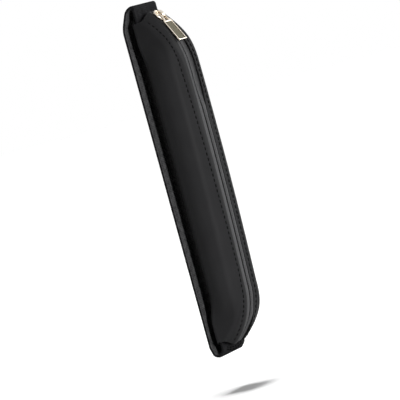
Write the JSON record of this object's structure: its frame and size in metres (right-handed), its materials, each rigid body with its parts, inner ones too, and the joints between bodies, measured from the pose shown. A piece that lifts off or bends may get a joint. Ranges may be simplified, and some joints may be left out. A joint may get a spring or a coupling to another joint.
{
  "type": "notebook pen holder",
  "caption": "Slim zipped leather-look pen pouch with a D-shaped profile, an elastic band down its back that straps it to a notebook's cover, and a metal zip slider with a hanging pull tab.",
  "frame": {"origin": "middle of the back panel's outer face, where the notebook's cover lies", "axes": "+Z along the pouch, towards the end where the slider parks; +Y out of the back panel, towards the elastic band; +X to the right seen from the zip side"},
  "size_m": [0.0276, 0.0304, 0.2],
  "materials": {
    "left_panel": "smooth black PU leather",
    "right_panel": "smooth black PU leather",
    "back_panel": "smooth black PU leather",
    "left_padding": "dark foam sheet",
    "right_padding": "dark foam sheet",
    "back_board": "dark stiff foam sheet",
    "left_lining": "black woven polyester",
    "right_lining": "black woven polyester",
    "back_lining": "black woven polyester",
    "left_zip_tape": "black woven zip tape",
    "right_zip_tape": "black woven zip tape",
    "left_zip_coil": "black nylon coil",
    "right_zip_coil": "black nylon coil",
    "elastic_band": "black woven elastic",
    "left_zip_stitches": "black polyester thread",
    "right_zip_stitches": "black polyester thread",
    "bottom_tab_stitches_1": "black polyester thread",
    "bottom_tab_stitches_2": "black polyester thread",
    "slider_body": "polished pale gold plating",
    "slider_cap": "polished pale gold plating",
    "pull_tab": "polished pale gold plating",
    "pull_inset": "dull olive-grey plate"
  },
  "bodies": {
    "pouch": {"left_panel": "left_panel", "right_panel": "right_panel", "back_panel": "back_panel", "left_padding": "left_padding", "right_padding": "right_padding", "back_board": "back_board", "left_lining": "left_lining", "right_lining": "right_lining", "back_lining": "back_lining", "left_zip_tape": "left_zip_tape", "right_zip_tape": "right_zip_tape", "left_zip_coil": "left_zip_coil", "right_zip_coil": "right_zip_coil", "elastic_band": "elastic_band", "left_zip_stitches": "left_zip_stitches", "right_zip_stitches": "right_zip_stitches", "bottom_tab_stitches_1": "bottom_tab_stitches_1", "bottom_tab_stitches_2": "bottom_tab_stitches_2"},
    "slider": {"slider_body": "slider_body", "slider_cap": "slider_cap"},
    "pull": {"pull_tab": "pull_tab", "pull_inset": "pull_inset"}
  },
  "joints": [
    {"name": "slider_travel", "type": "hinge", "parent": "pouch", "child": "slider", "pos_m": [0, 0.02806, 0.0595], "axis": [1, 0, 0], "range_deg": [0, 30]},
    {"name": "pull_swing", "type": "hinge", "parent": "slider", "child": "pull", "pos_m": [0, -0.01257, 0.09119], "axis": [-1, 0, 0], "range_deg": [0, 170]}
  ]
}
